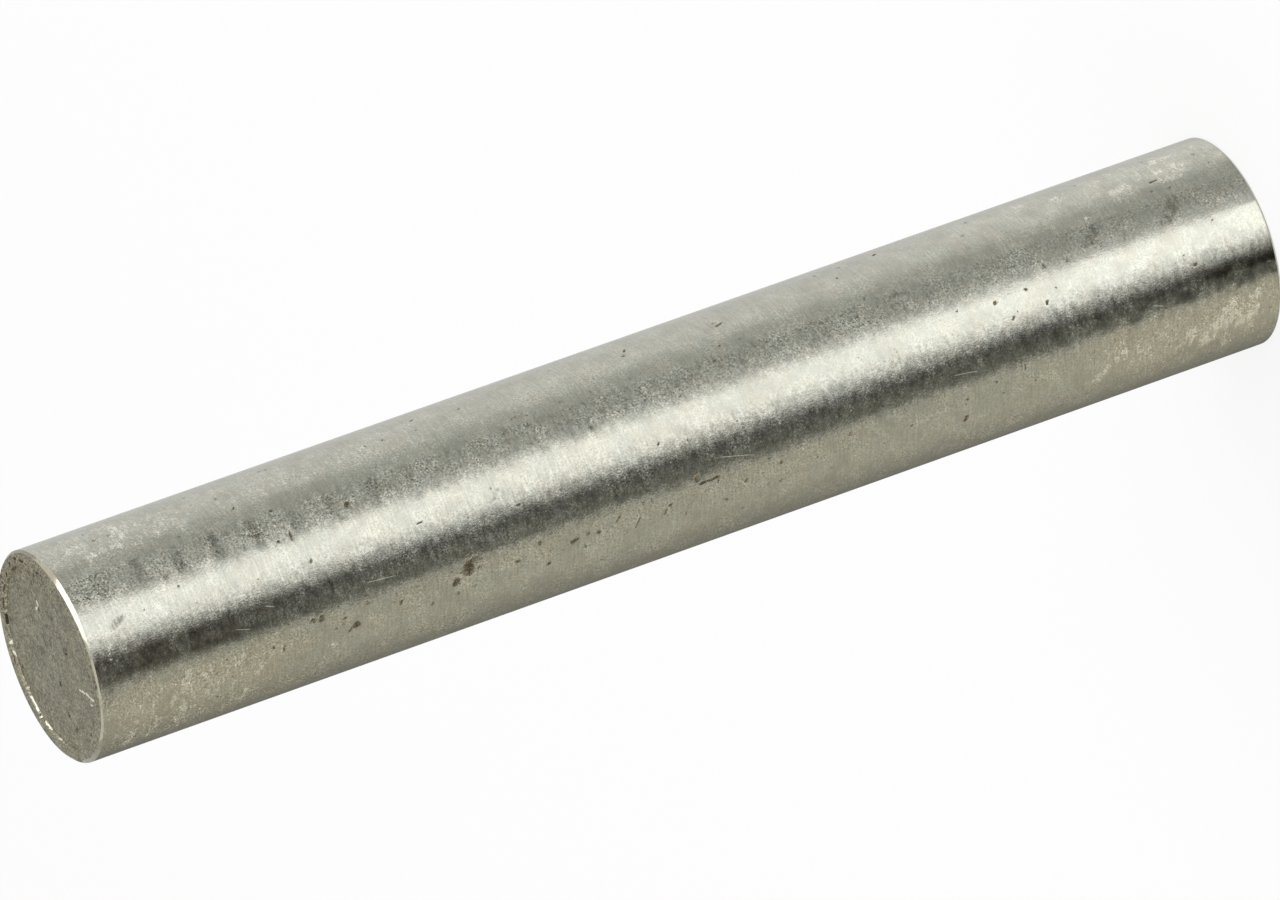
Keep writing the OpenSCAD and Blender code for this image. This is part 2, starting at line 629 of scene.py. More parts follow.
def wear_edges(pin, sizes):
    """Wears both broken edges and the step of the head back unevenly."""
    clouds = bpy.data.textures.new("edge_wear", "CLOUDS")
    clouds.noise_scale = 0.5 * MM
    inside = 0.98 * sizes.edge_break
    times_more_at_step = 4
    points = corners(pin)
    out = np.hypot(points[:, 0], points[:, 1])
    near_end = np.minimum(points[:, 2], LENGTH - points[:, 2])
    edges = (out > RADIUS - inside) & (near_end < inside)
    displace(pin, "edge_wear", edges.astype(float), -sizes.edge_wear, clouds)
    step_radius = RADIUS - sizes.edge_break - sizes.rim_width
    near_step = np.abs(out - step_radius + sizes.step_width / 2) < sizes.step_width
    step = near_step & (points[:, 2] > LENGTH / 2)
    displace(pin, "step_wear", step.astype(float), -times_more_at_step * sizes.edge_wear, clouds)


def lean_head_edge(pin, sizes):
    """Makes the head's broken edge wide on one side and narrow on the other, as hand filing leaves it."""
    reach = 1.2 * sizes.edge_break
    points = corners(pin)
    out = np.hypot(points[:, 0], points[:, 1])
    turn = np.degrees(np.arctan2(-points[:, 0], -points[:, 1]))
    sharp = points * (RADIUS / np.maximum(out, MM))[:, None]
    sharp[:, 2] = LENGTH
    broken = (RADIUS - out) + (LENGTH - points[:, 2]) < reach
    share = np.interp(turn, *zip(*EDGE_SHARES))
    points[broken] = sharp[broken] + (points[broken] - sharp[broken]) * share[broken, None]
    move_corners(pin, points)


def paint_ends(pin, sizes):
    """Gives the two faces and the two broken edges their own materials."""
    pin.data.materials.clear()
    for name in ("Ground shank", "Faced end", "Broken edge"):
        pin.data.materials.append(bpy.data.materials[name])
    slack = 0.01 * MM
    wear = 0.04 * MM
    inner = RADIUS - sizes.edge_break - slack
    deepest = sizes.facing_depth + wear

    def from_end(centre):
        return LENGTH / 2 - abs(centre.z - LENGTH / 2)

    def is_faced(face):
        centre = face.calc_center_median()
        return from_end(centre) < deepest and centre.xy.length < inner

    def is_broken_edge(face):
        centre = face.calc_center_median()
        return from_end(centre) < sizes.edge_break and centre.xy.length > inner

    for slot, test in ((1, is_faced), (2, is_broken_edge)):
        open_for_editing(pin, "FACE")
        select_where(pin, "faces", test)
        pin.active_material_index = slot
        bpy.ops.object.material_slot_assign()
        bpy.ops.object.mode_set(mode="OBJECT")


# ---------------------------------------------------------------- node helpers


class Tree:
    """A node tree with short ways to add and join nodes."""

    def __init__(self, tree):
        self.tree = tree
        self.tree.nodes.clear()

    def join(self, value, socket):
        """Links a socket, or writes a plain value, which is opaque if it is a colour."""
        if isinstance(value, bpy.types.NodeSocket):
            self.tree.links.new(value, socket)
        elif socket.type == "RGBA":
            socket.default_value = (*value, 1.0)
        else:
            socket.default_value = value

    def node(self, kind, inputs=None, **settings):
        node = self.tree.nodes.new(kind)
        for key, value in settings.items():
            setattr(node, key, value)
        for key, value in (inputs or {}).items():
            self.join(value, node.inputs[key])
        return node

    def group(self, name, inputs):
        return self.node("ShaderNodeGroup", inputs, node_tree=bpy.data.node_groups[name]).outputs

    def math(self, operation, *values, clamp=False):
        inputs = dict(enumerate(values))
        return self.node("ShaderNodeMath", inputs, operation=operation, use_clamp=clamp).outputs[0]

    def vector_math(self, operation, inputs):
        return self.node("ShaderNodeVectorMath", inputs, operation=operation).outputs

    def split(self, vector):
        """The x, y and z of a vector."""
        return self.node("ShaderNodeSeparateXYZ", {0: vector}).outputs

    def times(self, *values):
        """The product of all the values."""
        result = values[0]
        for value in values[1:]:
            result = self.math("MULTIPLY", result, value)
        return result

    def largest(self, *values):
        """The largest of the values."""
        result = values[0]
        for value in values[1:]:
            result = self.math("MAXIMUM", result, value)
        return result

    def ramp(self, value, low, high, out_low=0.0, out_high=1.0, smooth=True):
        """From out_low to out_high as the value rises from low to high."""
        kind = "SMOOTHSTEP" if smooth else "LINEAR"
        inputs = {0: value, 1: low, 2: high, 3: out_low, 4: out_high}
        return self.node("ShaderNodeMapRange", inputs, interpolation_type=kind).outputs[0]

    def swing(self, value, low, high, most):
        """From -most to most, evenly, as the value rises from low to high."""
        return self.ramp(value, low, high, -most, most, smooth=False)

    def fade(self, mask, plain, full):
        """The plain value where the mask is 0, and the full value where it is 1."""
        return self.ramp(mask, 0.0, 1.0, plain, full)

    def noise(self, vector, scale, detail=2.0, roughness=0.5):
        inputs = {"Vector": vector, "Scale": scale, "Detail": detail, "Roughness": roughness}
        return self.node("ShaderNodeTexNoise", inputs).outputs[0]

    def stretched(self, vector, scale):
        return self.vector_math("MULTIPLY", {0: vector, 1: scale})[0]

    def mix(self, factor, first, second, blend="MIX"):
        node = self.node("ShaderNodeMix", data_type="RGBA", blend_type=blend)
        self.join(factor, node.inputs[0])
        self.join(first, node.inputs[6])
        self.join(second, node.inputs[7])
        return node.outputs[2]

    def attribute(self, name):
        return self.node("ShaderNodeAttribute", attribute_name=name).outputs["Fac"]

    def coordinates(self, name):
        return self.node("ShaderNodeTexCoord").outputs[name]

    def emission(self, colour, strength):
        return self.node("ShaderNodeEmission", {"Color": colour, "Strength": strength}).outputs[0]

    def mix_shaders(self, factor, first, second):
        return self.node("ShaderNodeMixShader", {0: factor, 1: first, 2: second}).outputs[0]

    def finish(self, surface, kind="Material"):
        """Joins the surface to the output of a material or a world."""
        self.node("ShaderNodeOutput" + kind, {"Surface": surface})


def new_material(name):
    """A material of that name with an empty node tree. Returns both."""
    material = bpy.data.materials.new(name)
    material.use_nodes = True
    return material, Tree(material.node_tree)


def new_group(name, inputs, outputs):
    """A node group with those sockets. Returns its tree, its inputs and a function that fills an output."""
    group = bpy.data.node_groups.new(name, "ShaderNodeTree")
    for socket, kind, value in inputs:
        made = group.interface.new_socket(socket, in_out="INPUT", socket_type=kind)
        if value is not None:
            made.default_value = value
    for socket in outputs:
        group.interface.new_socket(socket, in_out="OUTPUT", socket_type="NodeSocketFloat")
    tree = Tree(group)
    given = tree.node("NodeGroupInput").outputs
    end = tree.node("NodeGroupOutput")

    def put(socket, value):
        group.links.new(value, end.inputs[socket])

    return tree, given, put


# ---------------------------------------------------------------- shared effects

VECTOR = "NodeSocketVector"
FLOAT = "NodeSocketFloat"


def grain_group():
    """Grain, ripple, patches and warmth of worked steel, each from 0 to 1."""
    inputs = [("Vector", VECTOR, None), ("Grain Size", FLOAT, 0.14 * MM), ("Patch Size", FLOAT, 1.5 * MM)]
    tree, given, put = new_group("Steel grain", inputs, ("Grain", "Ripple", "Patches", "Warmth"))
    place = given["Vector"]
    fine = tree.math("DIVIDE", 1.0, given["Grain Size"])
    broad = tree.math("DIVIDE", 1.0, given["Patch Size"])
    put("Grain", tree.noise(place, fine, detail=2.0, roughness=0.75))
    put("Ripple", tree.noise(place, tree.times(fine, 0.2), detail=0.0))
    put("Patches", tree.noise(place, broad, detail=3.5, roughness=0.7))
    put("Warmth", tree.noise(place, tree.times(broad, 1.1), detail=2.0, roughness=0.6))


def specks_group():
    """Small ragged specks, scattered apart, on a share of their places."""
    inputs = [
        ("Vector", VECTOR, None),
        ("Spacing", FLOAT, 0.6 * MM),
        ("Size", FLOAT, 0.12 * MM),
        ("Share", FLOAT, 0.3),
    ]
    tree, given, put = new_group("Specks", inputs, ("Mask",))
    scale = tree.math("DIVIDE", 1.0, given["Spacing"])
    cells = tree.node("ShaderNodeTexVoronoi", {"Vector": given["Vector"], "Scale": scale})
    chance = tree.node("ShaderNodeSeparateColor", {0: cells.outputs["Color"]}).outputs
    rough = tree.noise(given["Vector"], tree.times(scale, 6.0), detail=1.0)
    away = tree.times(cells.outputs["Distance"], tree.ramp(rough, 0.3, 0.7, 0.5, 1.5))
    reach = tree.times(given["Size"], scale, tree.fade(chance[1], 0.35, 1.0))
    spot = tree.ramp(away, tree.times(reach, 0.55), reach, 1.0, 0.0)
    there = tree.math("LESS_THAN", chance[0], given["Share"])
    put("Mask", tree.times(spot, there))


def flank_group():
    """A place on the flank: its turn in degrees, its way round in metres, and its height."""
    tree, given, put = new_group("Flank place", [("Vector", VECTOR, None)], ("Turn", "Arc", "Height"))
    x, y, z = tree.split(given["Vector"])
    turn = tree.math("ARCTAN2", tree.times(x, -1.0), tree.times(y, -1.0))
    put("Turn", tree.math("DEGREES", turn))
    put("Arc", tree.times(turn, RADIUS))
    put("Height", z)


def zone_group():
    """A soft-edged zone round one place on the flank, from 0 to its strength."""
    inputs = [
        ("Turn", FLOAT, 0.0),
        ("Height", FLOAT, 0.0),
        ("Strength", FLOAT, 1.0),
        ("Middle Turn", FLOAT, 0.0),
        ("Middle Height", FLOAT, 36 * MM),
        ("Half Turn", FLOAT, 10.0),
        ("Half Height", FLOAT, 5 * MM),
    ]
    tree, given, put = new_group("Flank zone", inputs, ("Mask",))
    masks = []
    for side in ("Turn", "Height"):
        away = tree.math("ABSOLUTE", tree.math("SUBTRACT", given[side], given["Middle " + side]))
        masks.append(tree.ramp(tree.math("DIVIDE", away, given["Half " + side]), 0.4, 1.0, 1.0, 0.0))
    put("Mask", tree.times(*masks, given["Strength"]))


def hairline_group():
    """A straight hairline scratch between two places on the flank."""
    inputs = [
        ("Arc", FLOAT, 0.0),
        ("Height", FLOAT, 0.0),
        ("Start", VECTOR, None),
        ("Run", VECTOR, None),
        ("Width", FLOAT, 0.05 * MM),
    ]
    tree, given, put = new_group("Hairline", inputs, ("Mask",))
    start, run = given["Start"], given["Run"]
    here = tree.node("ShaderNodeCombineXYZ", {0: given["Arc"], 1: given["Height"]}).outputs[0]
    along = tree.vector_math("SUBTRACT", {0: here, 1: start})[0]
    dot = tree.vector_math("DOT_PRODUCT", {0: along, 1: run})["Value"]
    square = tree.vector_math("DOT_PRODUCT", {0: run, 1: run})["Value"]
    share = tree.math("DIVIDE", dot, square, clamp=True)
    reached = tree.vector_math("SCALE", {0: run, "Scale": share})[0]
    away = tree.vector_math("DISTANCE", {0: along, 1: reached})["Value"]
    from_middle = tree.math("ABSOLUTE", tree.math("SUBTRACT", share, 0.5))
    fade = tree.ramp(from_middle, 0.25, 0.5, 1.0, 0.2)
    put("Mask", tree.times(tree.ramp(away, 0.0, given["Width"], 1.0, 0.0), fade))


# ---------------------------------------------------------------- finishes


def finish_steel(tree, colour, metallic, roughness, relief):
    """Joins a steel's colour, metal, roughness and relief to its shader."""
    bump = tree.node("ShaderNodeBump", {"Strength": 1.0, "Distance": 1.0, "Height": relief}).outputs[0]
    inputs = {
        "Base Color": colour,
        "Metallic": metallic,
        "Specular IOR Level": 0.15,
        "Roughness": roughness,
        "Normal": bump,
    }
    tree.finish(tree.node("ShaderNodeBsdfPrincipled", inputs).outputs[0])


def shank_material(steel):
    """Ground steel: grain with some painted glints, mottled patches, roller smudges, hairlines, scuffs,
    specks, rusty pits and a thin line of painted shade above the foot.
    """
    _, tree = new_material("Ground shank")
    place = tree.coordinates("Object")
    turn, arc, height = tree.group("Flank place", {"Vector": place})
    grain, ripple, patches, warmth = tree.group(
        "Steel grain", {"Vector": place, "Grain Size": steel.grain_size, "Patch Size": 1.5 * MM}
    )
    streaks = tree.noise(tree.stretched(place, (1, 1, 2)), 1 / (0.75 * MM), detail=4.0, roughness=0.8)

    def strongest(*zones):
        """The strongest of those zones at each place."""
        masks = []
        for zone in zones:
            inputs = {
                "Turn": turn,
                "Height": height,
                "Strength": zone.strength,
                "Middle Turn": zone.turn,
                "Middle Height": zone.height * MM,
                "Half Turn": zone.half_turn,
                "Half Height": zone.half_height * MM,
            }
            masks.append(tree.group("Flank zone", inputs)["Mask"])
        return tree.largest(*masks)

    def by_height(low, high, below, above):
        """From one value to another between two heights in millimetres."""
        return tree.ramp(height, low * MM, high * MM, below, above)

    # Mottled colour with fine grain in its tone, strongest in a few bands of coarser grain. In the bands
    # beside the mirrored bright stripe that strong speckle is partly grain and partly painted glints.
    steel_colour = tree.mix(tree.ramp(warmth, 0.35, 0.65), steel.shank_colour, steel.warm_colour)
    speckle_strength = tree.times(
        tree.largest(strongest(*GRAINY_AND_GLINT_ZONES), tree.fade(strongest(SMOOTH_ZONE), 0.62, 0.45)),
        tree.fade(strongest(POLISHED_ZONE), 1.0, 0.75),
        tree.ramp(patches, 0.3, 0.7, 0.4, 1.6),
        tree.ramp(height, 0.0, LENGTH, 0.8, 1.1),
    )
    fleck = tree.math("MULTIPLY_ADD", tree.swing(grain, 0.2, 0.8, 0.55), speckle_strength, 1.0)
    tone = tree.times(fleck, tree.ramp(patches, 0.25, 0.75, 0.88, 1.12))

    # Warmer steel and pale scuffed patches where both ends are handled.
    mottled = tree.math("ADD", streaks, tree.swing(grain, 0.2, 0.8, 0.16))
    warmer = strongest(*WARM_ZONES)
    steel_colour = tree.mix(warmer, steel_colour, (1.03, 1.0, 0.965), blend="MULTIPLY")
    handled = tree.largest(warmer, strongest(*HANDLED_ZONES))
    scuffed = tree.times(tree.attribute("scuff"), by_height(20, 50, 0.16, 0.12))
    field = tree.math("MULTIPLY_ADD", handled, 0.055, scuffed)
    scuff = tree.ramp(tree.math("ADD", field, mottled), 0.59, 0.80)
    scuff = tree.times(scuff, tree.ramp(field, 0.0, 0.07))
    steel_colour = tree.mix(tree.times(scuff, 0.85), steel_colour, steel.scuff_colour)

    # Fine lines of the grinding round the pin, which fade out at the back, and a few single hairlines.
    unrolled = tree.node("ShaderNodeCombineXYZ", {0: arc, 1: height}).outputs[0]
    lines = tree.noise(tree.stretched(unrolled, (1 / (1.1 * MM), 1 / (0.12 * MM), 1)), 1.0, detail=1.0)
    lined = tree.times(
        tree.ramp(tree.math("ABSOLUTE", turn), 150, 175, 1.0, 0.0),
        tree.fade(strongest(LINELESS_ZONE), 1.0, 0.1),
    )
    lines = tree.times(tree.math("SUBTRACT", lines, 0.5), lined)
    tone = tree.times(tone, tree.ramp(lines, -0.3, 0.3, 0.88, 1.12, smooth=False))
    hairlines = []
    for start_turn, start_height, end_turn, end_height in HAIRLINES:
        start = (math.radians(start_turn) * RADIUS, start_height * MM, 0)
        run = (math.radians(end_turn - start_turn) * RADIUS, (end_height - start_height) * MM, 0)
        inputs = {"Arc": arc, "Height": height, "Start": start, "Run": run}
        hairlines.append(tree.group("Hairline", inputs)["Mask"])
    hairlines = tree.largest(*hairlines)

    # Dark smudges that rollers left round the pin at an even pitch, strongest towards the head.
    steps_up = tree.math("DIVIDE", tree.math("SUBTRACT", height, 68.6 * MM), 2.33 * MM)
    rolled = tree.ramp(tree.math("COSINE", tree.times(steps_up, 2 * math.pi)), 0.3, 1.0, -0.4, 1.0)
    pressed = tree.times(
        by_height(40, 66, 0.0, 0.15),
        tree.ramp(patches, 0.35, 0.65, 0.4, 1.4),
        by_height(69.4, 70.8, 1.0, 0.4),
    )
    smudge = tree.ramp(tree.math("MULTIPLY_ADD", rolled, pressed, streaks), 0.50, 0.70)
    smudge = tree.times(smudge, strongest(ROLLED_ZONE))
    smudge = tree.largest(smudge, tree.times(tree.attribute("smudge"), tree.ramp(streaks, 0.35, 0.6)))

    # Broader unevenness: mottling beside the foot and in two bands, and a thin line of painted shade just
    # above the foot's broken edge.
    foot_side = tree.times(tree.ramp(patches, 0.36, 0.60, -0.35, 0.3), strongest(FOOT_SIDE_ZONE))
    broken = tree.times(tree.swing(streaks, 0.3, 0.7, 0.5), tree.largest(strongest(*BROKEN_ZONES), 0.12))
    tone = tree.times(
        tone,
        tree.fade(smudge, 1.0, 0.5),
        tree.math("ADD", foot_side, 1.0),
        # painted shade: a thin darker line just above the foot's broken edge
        by_height(0.15, 0.25, 0.78, 1.0),
        tree.math("ADD", broken, 1.0),
        tree.fade(strongest(PALER_ZONE), 1.0, 1.08),
        tree.fade(strongest(DARKER_ZONE), 1.0, 0.93),
    )
    tarnish = tree.times(strongest(*TARNISHED_ZONES), tree.ramp(patches, 0.35, 0.6, 0.95, 0.5))
    steel_colour = tree.mix(tarnish, steel_colour, steel.tarnish_colour)
    colour = tree.mix(1.0, steel_colour, tone, blend="MULTIPLY")
    colour = tree.mix(tree.times(hairlines, 0.45), colour, steel.scuff_colour)

    # Brown specks, thickest along one side, and the pits with their stain.
    share = tree.largest(tree.fade(strongest(RUSTY_ZONE), 0.12, 0.7), strongest(SPECKLED_ZONE))
    inputs = {"Vector": place, "Spacing": 0.62 * MM, "Size": 0.14 * MM, "Share": share}
    specks = tree.group("Specks", inputs)["Mask"]
    rust = tree.attribute("rust")
    speckle = tree.swing(grain, 0.3, 0.7, 0.35)
    pit = tree.ramp(tree.math("MULTIPLY_ADD", rust, 0.8, speckle), 0.3, 0.6)
    pit = tree.times(pit, tree.ramp(rust, 0.02, 0.1))
    browner = tree.ramp(tree.math("MULTIPLY_ADD", speckle, 0.6, mottled), 0.4, 0.66)
    rust_tone = tree.mix(browner, steel.rust_colour, steel.brown_colour)
    colour = tree.mix(tree.times(tree.ramp(rust, 0.0, 0.3), 0.45), colour, steel.brown_colour)
    colour = tree.mix(tree.times(specks, 0.7), colour, rust_tone)
    colour = tree.mix(pit, colour, rust_tone)
    rusted = tree.largest(pit, tree.times(specks, 0.4))

    # Worn and grainy places are duller, and rust is duller still.
    worn = tree.largest(
        tree.times(scuff, 0.7),
        tree.times(smudge, 0.4),
        tree.times(tree.ramp(patches, 0.45, 0.7), 0.25),
    )
    worn = tree.largest(tree.math("ADD", worn, tree.ramp(grain, 0.5, 0.8, 0.0, 0.35)), hairlines)
    roughness = tree.fade(rusted, tree.fade(worn, steel.shank_roughness, 0.5), steel.rust_roughness)
    relief = tree.times(tree.math("MULTIPLY_ADD", ripple, 1.3, grain), steel.grain_relief)
    finish_steel(tree, colour, tree.fade(rusted, 1.0, 0.1), roughness, relief)


def face_material(steel):
    """Dull faced steel: grain, mottled patches, a brown stain round the rim, specks, scratches and pits."""
    _, tree = new_material("Faced end")
    place = tree.coordinates("Object")
    x, y, _ = tree.split(place)
    out = tree.math("SQRT", tree.math("ADD", tree.math("MULTIPLY", x, x), tree.math("MULTIPLY", y, y)))
    grain, ripple, patches, warmth = tree.group(
        "Steel grain", {"Vector": place, "Grain Size": 1.1 * steel.grain_size, "Patch Size": 1.1 * MM}
    )

    # Browner towards the rim, most of all on the +X side and at the front, and in small blotches.
    front = tree.math("MULTIPLY_ADD", x, -0.6, tree.times(y, -0.8))
    browner = tree.math("ADD", tree.ramp(x, 1.5 * MM, 5.5 * MM), tree.ramp(out, 3.6 * MM, 5.6 * MM, 0.0, 0.5))
    browner = tree.math("ADD", browner, tree.ramp(front, 3.4 * MM, 5.4 * MM, 0.0, 0.45))
    stain = tree.ramp(tree.times(browner, tree.ramp(warmth, 0.3, 0.7, 0.4, 1.4)), 0.1, 1.5, 0.0, 0.6)
    blotches = tree.ramp(tree.noise(place, 1 / (0.5 * MM), detail=3.0, roughness=0.7), 0.42, 0.62)
    blotches = tree.times(blotches, tree.ramp(out, 1.0 * MM, 5.0 * MM, 0.20, 0.50))
    colour = tree.mix(tree.largest(stain, blotches), steel.face_colour, steel.brown_colour)

    # Grain, patches, dark flecks and smudges in the tone, and a paler rim.
    speckle_strength = tree.ramp(browner, 0.2, 1.4, 1.0, 1.5)
    flecks = tree.ramp(tree.noise(place, 1 / (0.3 * MM), detail=3.0, roughness=0.7), 0.56, 0.72)
    flecks = tree.times(flecks, tree.ramp(out, 2.0 * MM, 5.5 * MM, 0.4, 1.0))
    tone = tree.times(
        tree.math("MULTIPLY_ADD", tree.swing(grain, 0.2, 0.8, 1.0), speckle_strength, 1.0),
        tree.ramp(patches, 0.25, 0.75, 0.84, 1.16),
        tree.ramp(out, 4.9 * MM, 5.3 * MM, 1.0, 1.14),
        tree.fade(flecks, 1.0, 0.5),
        tree.fade(tree.attribute("smudge"), 1.0, 0.62),
    )
    colour = tree.mix(1.0, colour, tone, blend="MULTIPLY")

    # Specks and pits of rust, and the pale colour of the scratches and burrs: partly bright torn metal, and
    # partly painted glints along the head's step.
    share = tree.ramp(browner, 0.3, 1.5, 0.10, 0.9)
    inputs = {"Vector": place, "Spacing": 0.52 * MM, "Size": 0.17 * MM, "Share": share}
    specks = tree.group("Specks", inputs)["Mask"]
    rust = tree.ramp(tree.attribute("rust"), 0.2, 0.5)
    # the scratches and burrs turn pale: partly torn metal, partly painted glints
    torn = tree.ramp(tree.attribute("scuff"), 0.3, 0.6)
    colour = tree.mix(tree.times(specks, 0.85), colour, steel.rust_colour)
    colour = tree.mix(rust, colour, steel.rust_colour)
    colour = tree.mix(torn, colour, steel.torn_and_glint_colour)
    rusted = tree.largest(rust, tree.times(specks, 0.5))
    roughness = tree.fade(rusted, steel.face_roughness, steel.rust_roughness)
    relief = tree.math("ADD", tree.times(grain, 20 * MICRON), tree.times(ripple, 24 * MICRON))
    finish_steel(tree, colour, tree.fade(rusted, 1.0, 0.1), roughness, relief)


def edge_material(steel):
    """Rubbed steel of the broken edges, paler than the rest, with darker breaks."""
    _, tree = new_material("Broken edge")
    grain, _, patches, _ = tree.group(
        "Steel grain",
        {"Vector": tree.coordinates("Object"), "Grain Size": steel.grain_size, "Patch Size": 0.5 * MM},
    )
    stain = tree.ramp(patches, 0.45, 0.7, 0.0, 0.4)
    colour = tree.mix(stain, steel.edge_colour, steel.brown_colour)
    colour = tree.mix(1.0, colour, tree.ramp(grain, 0.2, 0.8, 0.9, 1.1), blend="MULTIPLY")
    roughness = tree.ramp(patches, 0.3, 0.7, 0.09, 0.16)
    finish_steel(tree, colour, 1.0, roughness, tree.times(grain, 1 * MICRON))


# ---------------------------------------------------------------- studio


def place_camera(studio):
    """Aims the camera at the pin's middle, and shifts its view by a few pixels."""
    render_width = 1280
    right = -7.2
    up = -4.2
    data = bpy.data.cameras.new("Camera")
    data.sensor_width = 36
    data.lens = studio.camera_lens
    data.shift_x = right / render_width
    data.shift_y = up / render_width
    data.clip_start = 0.01
    data.clip_end = 20
    camera = bpy.data.objects.new("Camera", data)
    bpy.context.scene.collection.objects.link(camera)
    rise = studio.camera_elevation
    back = Vector((0, -math.cos(rise), math.sin(rise)))
    level = Matrix.Rotation(math.pi / 2 - rise, 4, "X")
    camera.matrix_world = (
        Matrix.Translation(Vector((0, 0, LENGTH / 2)) + back * studio.camera_distance)
        @ level
        @ Matrix.Rotation(studio.camera_roll, 4, "Z")
    )
    bpy.context.scene.camera = camera


def seen_by_camera_or_gloss(tree):
    """1 for camera, glossy and transmission rays, which show the white background, and 0 for the rest."""
    path = tree.node("ShaderNodeLightPath").outputs
    both = tree.math("ADD", path["Is Camera Ray"], path["Is Glossy Ray"])
    return tree.math("ADD", both, path["Is Transmission Ray"], clamp=True)


def white_world():
    world = bpy.data.worlds.new("Studio")
    bpy.context.scene.world = world
    world.use_nodes = True
    tree = Tree(world.node_tree)
    fill = tree.node("ShaderNodeBackground", {"Color": WHITE, "Strength": 0.85}).outputs[0]
    white = tree.node("ShaderNodeBackground", {"Color": WHITE, "Strength": 1.0}).outputs[0]
    tree.finish(tree.mix_shaders(seen_by_camera_or_gloss(tree), fill, white), "World")


def lay_floor(studio):
    bpy.ops.object.select_all(action="DESELECT")
    bpy.ops.mesh.primitive_circle_add(vertices=64, radius=3, fill_type="NGON")
    floor = bpy.context.object
    floor.name = "floor"
    material, tree = new_material("White floor")
    matt = tree.node("ShaderNodeBsdfDiffuse", {"Color": studio.floor_colour}).outputs[0]
    share = tree.times(seen_by_camera_or_gloss(tree), 0.8)
    tree.finish(tree.mix_shaders(share, matt, tree.emission(WHITE, 1.0)))
    floor.data.materials.append(material)


def show_to_gloss_only(card, name):
    """Names a card and hides it from all but shiny surfaces. Returns the tree of its new material."""
    card.name = name
    for ray in ("camera", "diffuse", "shadow", "transmission", "volume_scatter"):
        setattr(card, "visible_" + ray, False)
    material, tree = new_material(name)
    card.data.materials.append(material)
    return tree


def lay_card(card):
    """Lays a card on the floor, whose far side is twice as far round as its near side, as a mirror needs."""
    steps = 24
    reach = 0.9
    bpy.ops.object.select_all(action="DESELECT")
    bpy.ops.mesh.primitive_grid_add(x_subdivisions=steps, y_subdivisions=1, size=1, calc_uvs=True)
    sheet = bpy.context.object
    width = card.end - card.start
    for corner in sheet.data.vertices:
        turn = math.radians(card.start + (corner.co.x + 0.5) * width)
        inner = polar(turn, RADIUS + 0.05 * MM)
        outer = polar(2 * turn, reach)
        corner.co = inner + outer * (corner.co.y + 0.5) + Vector((0, 0, card.lift * MM))
    tree = show_to_gloss_only(sheet, card.name)
    across, outward, _ = tree.split(tree.coordinates("UV"))
    across = tree.math("MULTIPLY_ADD", outward, card.lean / width, across)
    rise = tree.ramp(across, 0.0, card.soft_start / width)
    fall = tree.ramp(across, 1.0 - card.soft_end / width, 1.0, 1.0, 0.0)
    level = tree.ramp(outward, 0.0, 0.1, card.level * card.near, card.level)
    clear = tree.node("ShaderNodeBsdfTransparent").outputs[0]
    tree.finish(tree.mix_shaders(tree.times(rise, fall), clear, tree.emission(card.tint, level)))


def stand_card(name, place, size, level):
    """Stands an evenly glowing card behind the pin, which only shiny surfaces see, and which dulls what the
    head mirrors.
    """
    bpy.ops.object.select_all(action="DESELECT")
    bpy.ops.mesh.primitive_grid_add(size=1, location=place, rotation=(math.pi / 2, 0, 0))
    card = bpy.context.object
    card.scale = (*size, 1)
    bpy.ops.object.transform_apply(location=False, rotation=False)
    tree = show_to_gloss_only(card, name)
    tree.finish(tree.emission(WHITE, level))


def hang_softbox(name, towards, along, distance, size, radiance):
    """Hangs a soft lamp in that direction from the head, whose mirror image has that radiance."""
    data = bpy.data.lights.new(name, "AREA")
    data.shape = "RECTANGLE"
    data.size, data.size_y = size
    data.energy = radiance * math.pi * size[0] * size[1]
    lamp = bpy.data.objects.new(name, data)
    lamp.visible_camera = False
    bpy.context.scene.collection.objects.link(lamp)
    back = Vector(towards).normalized()
    side = (Vector(along) - back * Vector(along).dot(back)).normalized()
    facing = Matrix((side, back.cross(side), back)).transposed().to_4x4()
    lamp.matrix_world = Matrix.Translation(Vector((0, 0, LENGTH)) + back * distance) @ facing


# ---------------------------------------------------------------- operators


class AXLEPIN_OT_place_camera(bpy.types.Operator):
    """Place the camera in front of the pin"""

    bl_idname = "axle_pin.place_camera"
    bl_label = "Place the Camera"

    def execute(self, context):
        place_camera(context.scene.axle_pin_studio)
        return {"FINISHED"}


class AXLEPIN_OT_set_stage(bpy.types.Operator):
    """Lay the floor and set up the lamp and the cards"""

    bl_idname = "axle_pin.set_stage"
    bl_label = "Set the Stage"

    def execute(self, context):
        context.scene.view_settings.view_transform = "Standard"
        white_world()
        lay_floor(context.scene.axle_pin_studio)
        for card in FLOOR_CARDS:
            lay_card(card)
        stand_card("back_card", place=(0, 0.6, 0.3), size=(1.6, 0.7), level=0.63)
        hang_softbox(
            "softbox",
            towards=(0.425, -0.16, 0.885),
            along=(0.78, 0.44, -0.2),
            distance=0.35,
            size=(0.28, 0.16),
            radiance=2.4,
        )
        return {"FINISHED"}


class AXLEPIN_OT_mix_steel(bpy.types.Operator):
    """Mix the finishes of the steel"""

    bl_idname = "axle_pin.mix_steel"
    bl_label = "Mix the Steel"

    def execute(self, context):
        steel = context.scene.axle_pin_steel
        grain_group()
        specks_group()
        flank_group()
        zone_group()
        hairline_group()
        shank_material(steel)
        face_material(steel)
        edge_material(steel)
        return {"FINISHED"}


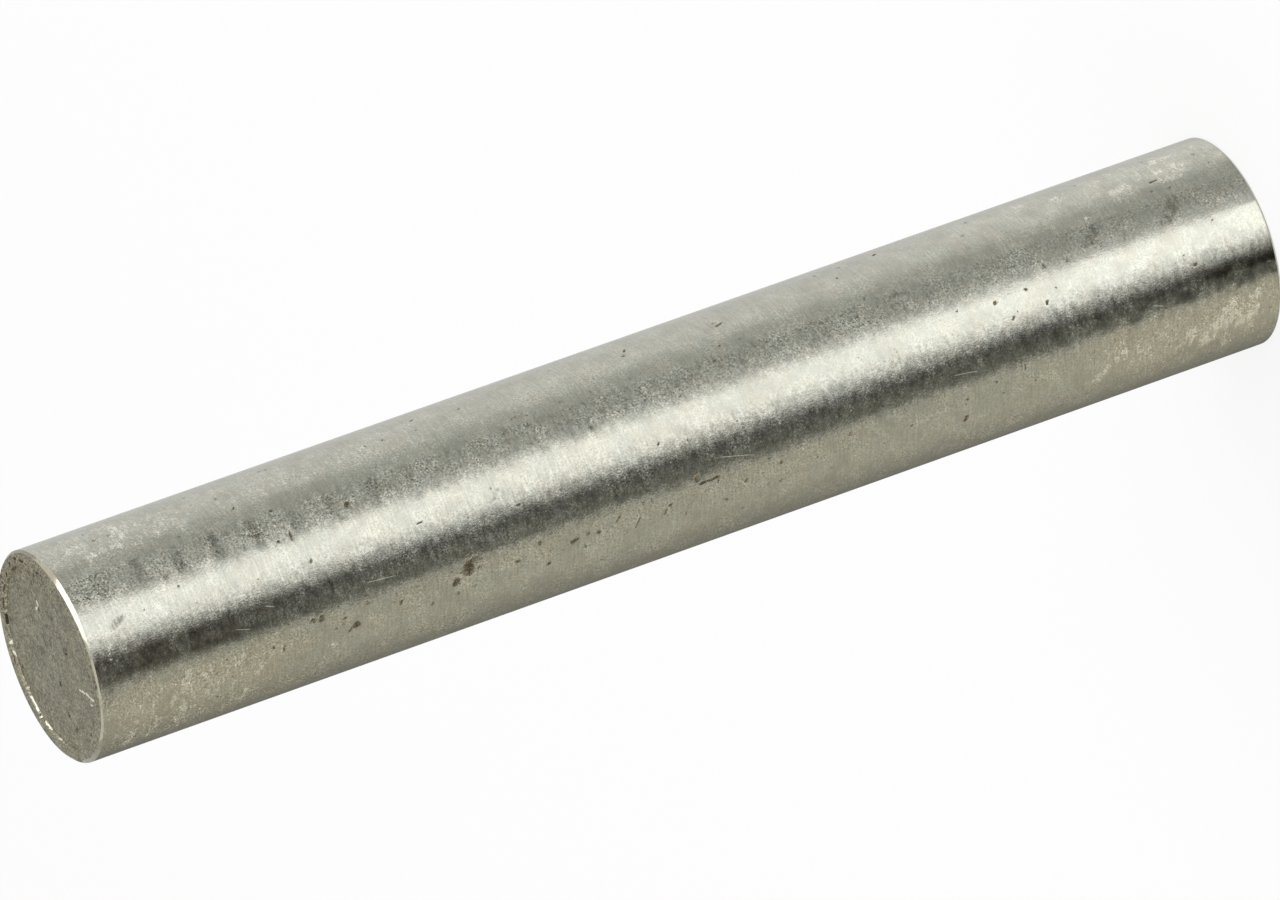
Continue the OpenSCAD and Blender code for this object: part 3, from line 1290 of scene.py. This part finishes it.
class AXLEPIN_OT_turn_pin(bpy.types.Operator):
    """Turn the pin, press its marks and dress it in steel"""

    bl_idname = "axle_pin.turn_pin"
    bl_label = "Turn the Pin"

    def execute(self, context):
        sizes = context.scene.axle_pin_sizes
        pin = turn_blank(sizes)
        face_ends(pin, sizes)
        ring_flank(pin)
        refine_round_marks(pin, RUST_PITS, (*HEAD_PITS, *HEAD_SCUFFS))
        paint_ends(pin, sizes)
        wear_edges(pin, sizes)
        lean_head_edge(pin, sizes)
        press_marks(pin, "rust", RUST_PITS, HEAD_PITS)
        press_marks(pin, "scuff", SCUFFS, HEAD_SCUFFS, ragged=0.9)
        press_marks(pin, "smudge", SMUDGES, HEAD_SMUDGES)
        raise_burrs(pin, HEAD_SCUFFS)
        bpy.ops.object.shade_smooth_by_angle(angle=math.radians(35))
        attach(pin, "root")
        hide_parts(NODE)
        return {"FINISHED"}


class AXLEPIN_PT_sidebar(bpy.types.Panel):
    """Lists the settings and steps of the axle pin"""

    bl_idname = "AXLEPIN_PT_sidebar"
    bl_label = "Axle Pin"
    bl_space_type = "VIEW_3D"
    bl_region_type = "UI"
    bl_category = "Axle Pin"

    def draw(self, context):
        for settings in SETTINGS:
            box = self.layout.box()
            group = getattr(context.scene, settings)
            for name in group.__annotations__:
                box.prop(group, name)
        for step in STEPS:
            self.layout.operator(step.bl_idname)


STEPS = (AXLEPIN_OT_place_camera, AXLEPIN_OT_set_stage, AXLEPIN_OT_mix_steel, AXLEPIN_OT_turn_pin)
SETTINGS = {
    "axle_pin_sizes": PinSettings,
    "axle_pin_steel": SteelSettings,
    "axle_pin_studio": StudioSettings,
}
CLASSES = (*SETTINGS.values(), *STEPS, AXLEPIN_PT_sidebar)


def register():
    for cls in CLASSES:
        bpy.utils.register_class(cls)
    for name, settings in SETTINGS.items():
        setattr(bpy.types.Scene, name, PointerProperty(type=settings))


def unregister():
    for name in SETTINGS:
        delattr(bpy.types.Scene, name)
    for cls in reversed(CLASSES):
        bpy.utils.unregister_class(cls)


def main():
    register()
    bpy.ops.axle_pin.place_camera()
    bpy.ops.axle_pin.set_stage()
    bpy.ops.axle_pin.mix_steel()
    bpy.ops.axle_pin.turn_pin()


if __name__ == "__main__":
    main()
